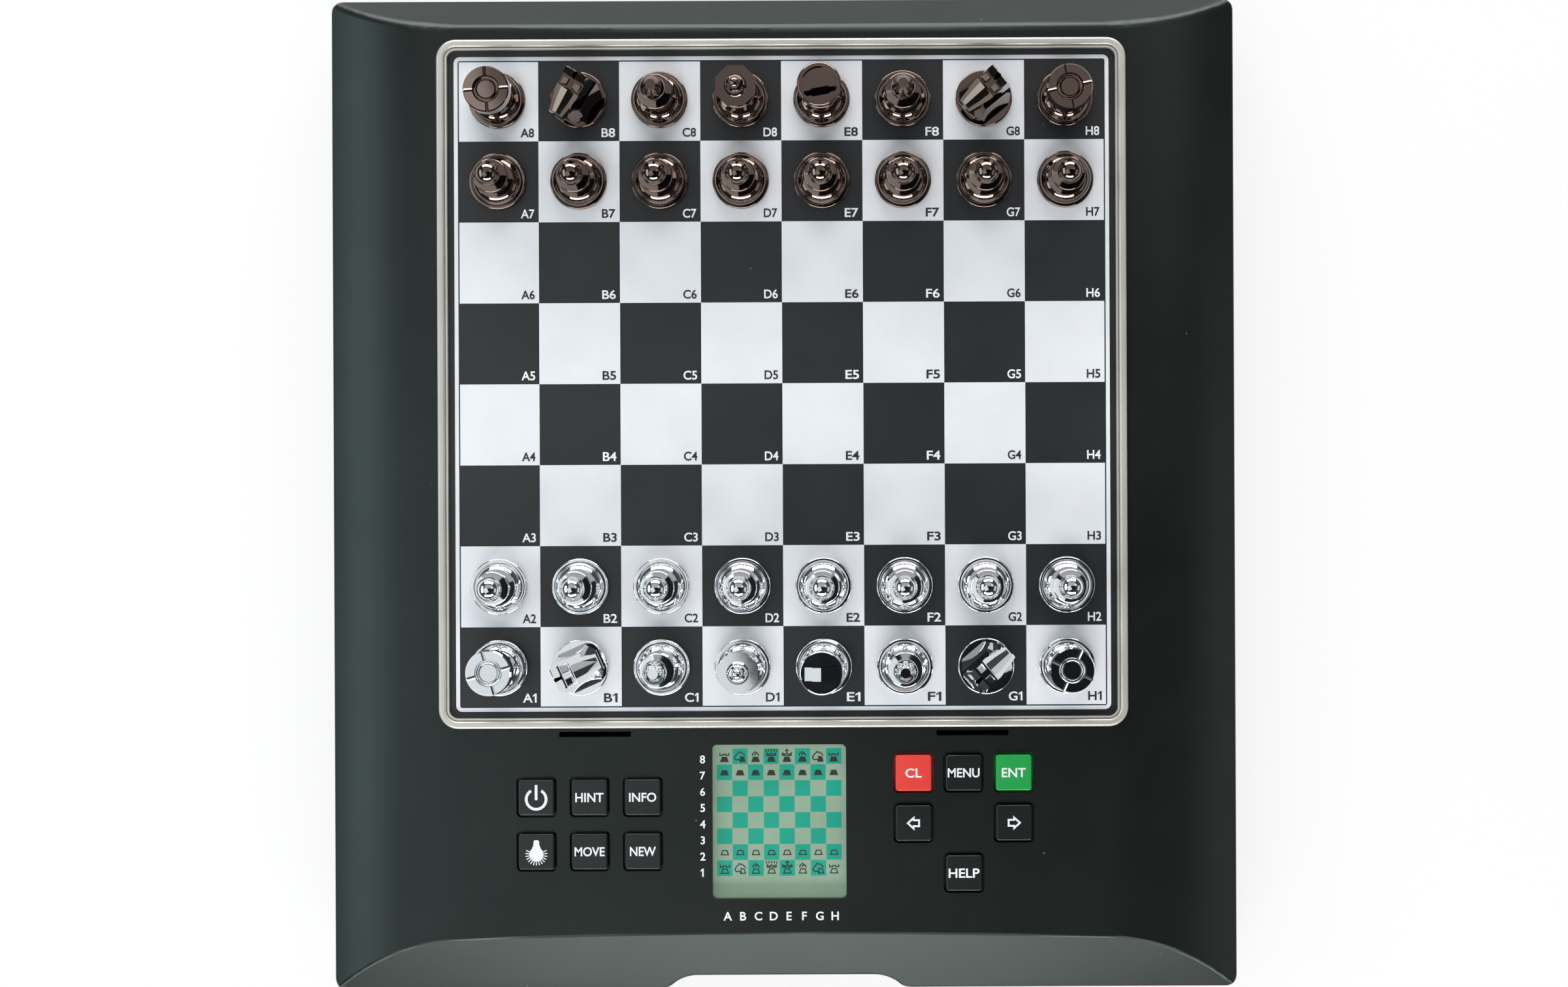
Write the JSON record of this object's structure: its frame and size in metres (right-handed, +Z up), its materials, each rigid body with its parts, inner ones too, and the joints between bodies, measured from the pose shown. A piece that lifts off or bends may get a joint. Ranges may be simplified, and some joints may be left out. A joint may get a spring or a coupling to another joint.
{
  "type": "electronic chess computer",
  "caption": "Tabletop electronic chess computer with a sensor board, metallised chess pieces, a small display, push keys and a storage drawer.",
  "frame": {"origin": "on the table under the middle of the casing", "axes": "+X to the player's right, +Y from the player to the back edge, +Z up"},
  "size_m": [0.282, 0.309, 0.0692],
  "materials": {
    "case_plastic": "fine-textured black moulding",
    "silver_trim": "satin silver coating",
    "board_sheet": "printed satin sheet",
    "sensor_film": "film laminate",
    "clear_window": "clear, polished",
    "display_cell": "grey-green liquid-crystal cell",
    "circuit_board": "green solder resist",
    "silicone": "matt translucent grey",
    "inner_plastic": "moulded",
    "battery_jacket": "printed jacket over a can",
    "spring_nickel": "nickel plated",
    "foot_rubber": "matt",
    "screw_steel": "blackened",
    "black_key": "satin black key with a white printed sign",
    "red_key": "satin red key",
    "green_key": "satin green key",
    "white_metallised": "bright mirror metallising over plastic",
    "black_metallised": "smoky brown mirror metallising over plastic"
  },
  "bodies": {
    "casing": {"top_case": "case_plastic", "bottom_case": "case_plastic", "board_bezel": "silver_trim", "playing_surface": "board_sheet", "sensor_matrix": "sensor_film", "display_window": "clear_window", "display_panel": "display_cell", "main_pcb": "circuit_board", "keypad_mats": "silicone", "dc_socket": "inner_plastic", "batteries": "battery_jacket", "battery_contacts": "spring_nickel", "rubber_feet": "foot_rubber", "case_screws": "screw_steel"},
    "battery_cover": {"battery_cover": "case_plastic"},
    "piece_drawer": {"piece_drawer": "case_plastic"},
    "key_power": {"key_power": "black_key"},
    "key_hint": {"key_hint": "black_key"},
    "key_info": {"key_info": "black_key"},
    "key_light": {"key_light": "black_key"},
    "key_move": {"key_move": "black_key"},
    "key_new": {"key_new": "black_key"},
    "key_clear": {"key_clear": "red_key"},
    "key_menu": {"key_menu": "black_key"},
    "key_enter": {"key_enter": "green_key"},
    "key_left": {"key_left": "black_key"},
    "key_right": {"key_right": "black_key"},
    "key_help": {"key_help": "black_key"},
    "white_rook_a1": {"white_rook_a1": "white_metallised"},
    "white_pawn_a2": {"white_pawn_a2": "white_metallised"},
    "white_knight_b1": {"white_knight_b1": "white_metallised"},
    "white_pawn_b2": {"white_pawn_b2": "white_metallised"},
    "white_bishop_c1": {"white_bishop_c1": "white_metallised"},
    "white_pawn_c2": {"white_pawn_c2": "white_metallised"},
    "white_queen_d1": {"white_queen_d1": "white_metallised"},
    "white_pawn_d2": {"white_pawn_d2": "white_metallised"},
    "white_king_e1": {"white_king_e1": "white_metallised"},
    "white_pawn_e2": {"white_pawn_e2": "white_metallised"},
    "white_bishop_f1": {"white_bishop_f1": "white_metallised"},
    "white_pawn_f2": {"white_pawn_f2": "white_metallised"},
    "white_knight_g1": {"white_knight_g1": "white_metallised"},
    "white_pawn_g2": {"white_pawn_g2": "white_metallised"},
    "white_rook_h1": {"white_rook_h1": "white_metallised"},
    "white_pawn_h2": {"white_pawn_h2": "white_metallised"},
    "black_rook_a8": {"black_rook_a8": "black_metallised"},
    "black_pawn_a7": {"black_pawn_a7": "black_metallised"},
    "black_knight_b8": {"black_knight_b8": "black_metallised"},
    "black_pawn_b7": {"black_pawn_b7": "black_metallised"},
    "black_bishop_c8": {"black_bishop_c8": "black_metallised"},
    "black_pawn_c7": {"black_pawn_c7": "black_metallised"},
    "black_queen_d8": {"black_queen_d8": "black_metallised"},
    "black_pawn_d7": {"black_pawn_d7": "black_metallised"},
    "black_king_e8": {"black_king_e8": "black_metallised"},
    "black_pawn_e7": {"black_pawn_e7": "black_metallised"},
    "black_bishop_f8": {"black_bishop_f8": "black_metallised"},
    "black_pawn_f7": {"black_pawn_f7": "black_metallised"},
    "black_knight_g8": {"black_knight_g8": "black_metallised"},
    "black_pawn_g7": {"black_pawn_g7": "black_metallised"},
    "black_rook_h8": {"black_rook_h8": "black_metallised"},
    "black_pawn_h7": {"black_pawn_h7": "black_metallised"}
  },
  "joints": [
    {"name": "drawer_slide", "type": "slide", "parent": "casing", "child": "piece_drawer", "axis": [0, -1, 0], "range_m": [0, 0.11]},
    {"name": "battery_hatch", "type": "hinge", "parent": "casing", "child": "battery_cover", "pos_m": [0, 0.11475, 0.002], "axis": [1, 0, 0], "range_deg": [0, 75]},
    {"name": "key_power_press", "type": "slide", "parent": "casing", "child": "key_power", "axis": [0, 0, -1], "range_m": [0, 0.0012], "stiffness_N_per_m": 600, "springref_m": -0.0005, "deforming": ["keypad_mats"]},
    {"name": "key_hint_press", "type": "slide", "parent": "casing", "child": "key_hint", "axis": [0, 0, -1], "range_m": [0, 0.0012], "stiffness_N_per_m": 600, "springref_m": -0.0005, "deforming": ["keypad_mats"]},
    {"name": "key_info_press", "type": "slide", "parent": "casing", "child": "key_info", "axis": [0, 0, -1], "range_m": [0, 0.0012], "stiffness_N_per_m": 600, "springref_m": -0.0005, "deforming": ["keypad_mats"]},
    {"name": "key_light_press", "type": "slide", "parent": "casing", "child": "key_light", "axis": [0, 0, -1], "range_m": [0, 0.0012], "stiffness_N_per_m": 600, "springref_m": -0.0005, "deforming": ["keypad_mats"]},
    {"name": "key_move_press", "type": "slide", "parent": "casing", "child": "key_move", "axis": [0, 0, -1], "range_m": [0, 0.0012], "stiffness_N_per_m": 600, "springref_m": -0.0005, "deforming": ["keypad_mats"]},
    {"name": "key_new_press", "type": "slide", "parent": "casing", "child": "key_new", "axis": [0, 0, -1], "range_m": [0, 0.0012], "stiffness_N_per_m": 600, "springref_m": -0.0005, "deforming": ["keypad_mats"]},
    {"name": "key_clear_press", "type": "slide", "parent": "casing", "child": "key_clear", "axis": [0, 0, -1], "range_m": [0, 0.0012], "stiffness_N_per_m": 600, "springref_m": -0.0005, "deforming": ["keypad_mats"]},
    {"name": "key_menu_press", "type": "slide", "parent": "casing", "child": "key_menu", "axis": [0, 0, -1], "range_m": [0, 0.0012], "stiffness_N_per_m": 600, "springref_m": -0.0005, "deforming": ["keypad_mats"]},
    {"name": "key_enter_press", "type": "slide", "parent": "casing", "child": "key_enter", "axis": [0, 0, -1], "range_m": [0, 0.0012], "stiffness_N_per_m": 600, "springref_m": -0.0005, "deforming": ["keypad_mats"]},
    {"name": "key_left_press", "type": "slide", "parent": "casing", "child": "key_left", "axis": [0, 0, -1], "range_m": [0, 0.0012], "stiffness_N_per_m": 600, "springref_m": -0.0005, "deforming": ["keypad_mats"]},
    {"name": "key_right_press", "type": "slide", "parent": "casing", "child": "key_right", "axis": [0, 0, -1], "range_m": [0, 0.0012], "stiffness_N_per_m": 600, "springref_m": -0.0005, "deforming": ["keypad_mats"]},
    {"name": "key_help_press", "type": "slide", "parent": "casing", "child": "key_help", "axis": [0, 0, -1], "range_m": [0, 0.0012], "stiffness_N_per_m": 600, "springref_m": -0.0005, "deforming": ["keypad_mats"]},
    {"name": "white_rook_a1_lift", "type": "slide", "parent": "casing", "child": "white_rook_a1", "axis": [0, 0, 1], "range_m": [0, 0.06]},
    {"name": "white_pawn_a2_lift", "type": "slide", "parent": "casing", "child": "white_pawn_a2", "axis": [0, 0, 1], "range_m": [0, 0.06]},
    {"name": "white_knight_b1_lift", "type": "slide", "parent": "casing", "child": "white_knight_b1", "axis": [0, 0, 1], "range_m": [0, 0.06]},
    {"name": "white_pawn_b2_lift", "type": "slide", "parent": "casing", "child": "white_pawn_b2", "axis": [0, 0, 1], "range_m": [0, 0.06]},
    {"name": "white_bishop_c1_lift", "type": "slide", "parent": "casing", "child": "white_bishop_c1", "axis": [0, 0, 1], "range_m": [0, 0.06]},
    {"name": "white_pawn_c2_lift", "type": "slide", "parent": "casing", "child": "white_pawn_c2", "axis": [0, 0, 1], "range_m": [0, 0.06]},
    {"name": "white_queen_d1_lift", "type": "slide", "parent": "casing", "child": "white_queen_d1", "axis": [0, 0, 1], "range_m": [0, 0.06]},
    {"name": "white_pawn_d2_lift", "type": "slide", "parent": "casing", "child": "white_pawn_d2", "axis": [0, 0, 1], "range_m": [0, 0.06]},
    {"name": "white_king_e1_lift", "type": "slide", "parent": "casing", "child": "white_king_e1", "axis": [0, 0, 1], "range_m": [0, 0.06]},
    {"name": "white_pawn_e2_lift", "type": "slide", "parent": "casing", "child": "white_pawn_e2", "axis": [0, 0, 1], "range_m": [0, 0.06]},
    {"name": "white_bishop_f1_lift", "type": "slide", "parent": "casing", "child": "white_bishop_f1", "axis": [0, 0, 1], "range_m": [0, 0.06]},
    {"name": "white_pawn_f2_lift", "type": "slide", "parent": "casing", "child": "white_pawn_f2", "axis": [0, 0, 1], "range_m": [0, 0.06]},
    {"name": "white_knight_g1_lift", "type": "slide", "parent": "casing", "child": "white_knight_g1", "axis": [0, 0, 1], "range_m": [0, 0.06]},
    {"name": "white_pawn_g2_lift", "type": "slide", "parent": "casing", "child": "white_pawn_g2", "axis": [0, 0, 1], "range_m": [0, 0.06]},
    {"name": "white_rook_h1_lift", "type": "slide", "parent": "casing", "child": "white_rook_h1", "axis": [0, 0, 1], "range_m": [0, 0.06]},
    {"name": "white_pawn_h2_lift", "type": "slide", "parent": "casing", "child": "white_pawn_h2", "axis": [0, 0, 1], "range_m": [0, 0.06]},
    {"name": "black_rook_a8_lift", "type": "slide", "parent": "casing", "child": "black_rook_a8", "axis": [0, 0, 1], "range_m": [0, 0.06]},
    {"name": "black_pawn_a7_lift", "type": "slide", "parent": "casing", "child": "black_pawn_a7", "axis": [0, 0, 1], "range_m": [0, 0.06]},
    {"name": "black_knight_b8_lift", "type": "slide", "parent": "casing", "child": "black_knight_b8", "axis": [0, 0, 1], "range_m": [0, 0.06]},
    {"name": "black_pawn_b7_lift", "type": "slide", "parent": "casing", "child": "black_pawn_b7", "axis": [0, 0, 1], "range_m": [0, 0.06]},
    {"name": "black_bishop_c8_lift", "type": "slide", "parent": "casing", "child": "black_bishop_c8", "axis": [0, 0, 1], "range_m": [0, 0.06]},
    {"name": "black_pawn_c7_lift", "type": "slide", "parent": "casing", "child": "black_pawn_c7", "axis": [0, 0, 1], "range_m": [0, 0.06]},
    {"name": "black_queen_d8_lift", "type": "slide", "parent": "casing", "child": "black_queen_d8", "axis": [0, 0, 1], "range_m": [0, 0.06]},
    {"name": "black_pawn_d7_lift", "type": "slide", "parent": "casing", "child": "black_pawn_d7", "axis": [0, 0, 1], "range_m": [0, 0.06]},
    {"name": "black_king_e8_lift", "type": "slide", "parent": "casing", "child": "black_king_e8", "axis": [0, 0, 1], "range_m": [0, 0.06]},
    {"name": "black_pawn_e7_lift", "type": "slide", "parent": "casing", "child": "black_pawn_e7", "axis": [0, 0, 1], "range_m": [0, 0.06]},
    {"name": "black_bishop_f8_lift", "type": "slide", "parent": "casing", "child": "black_bishop_f8", "axis": [0, 0, 1], "range_m": [0, 0.06]},
    {"name": "black_pawn_f7_lift", "type": "slide", "parent": "casing", "child": "black_pawn_f7", "axis": [0, 0, 1], "range_m": [0, 0.06]},
    {"name": "black_knight_g8_lift", "type": "slide", "parent": "casing", "child": "black_knight_g8", "axis": [0, 0, 1], "range_m": [0, 0.06]},
    {"name": "black_pawn_g7_lift", "type": "slide", "parent": "casing", "child": "black_pawn_g7", "axis": [0, 0, 1], "range_m": [0, 0.06]},
    {"name": "black_rook_h8_lift", "type": "slide", "parent": "casing", "child": "black_rook_h8", "axis": [0, 0, 1], "range_m": [0, 0.06]},
    {"name": "black_pawn_h7_lift", "type": "slide", "parent": "casing", "child": "black_pawn_h7", "axis": [0, 0, 1], "range_m": [0, 0.06]}
  ]
}
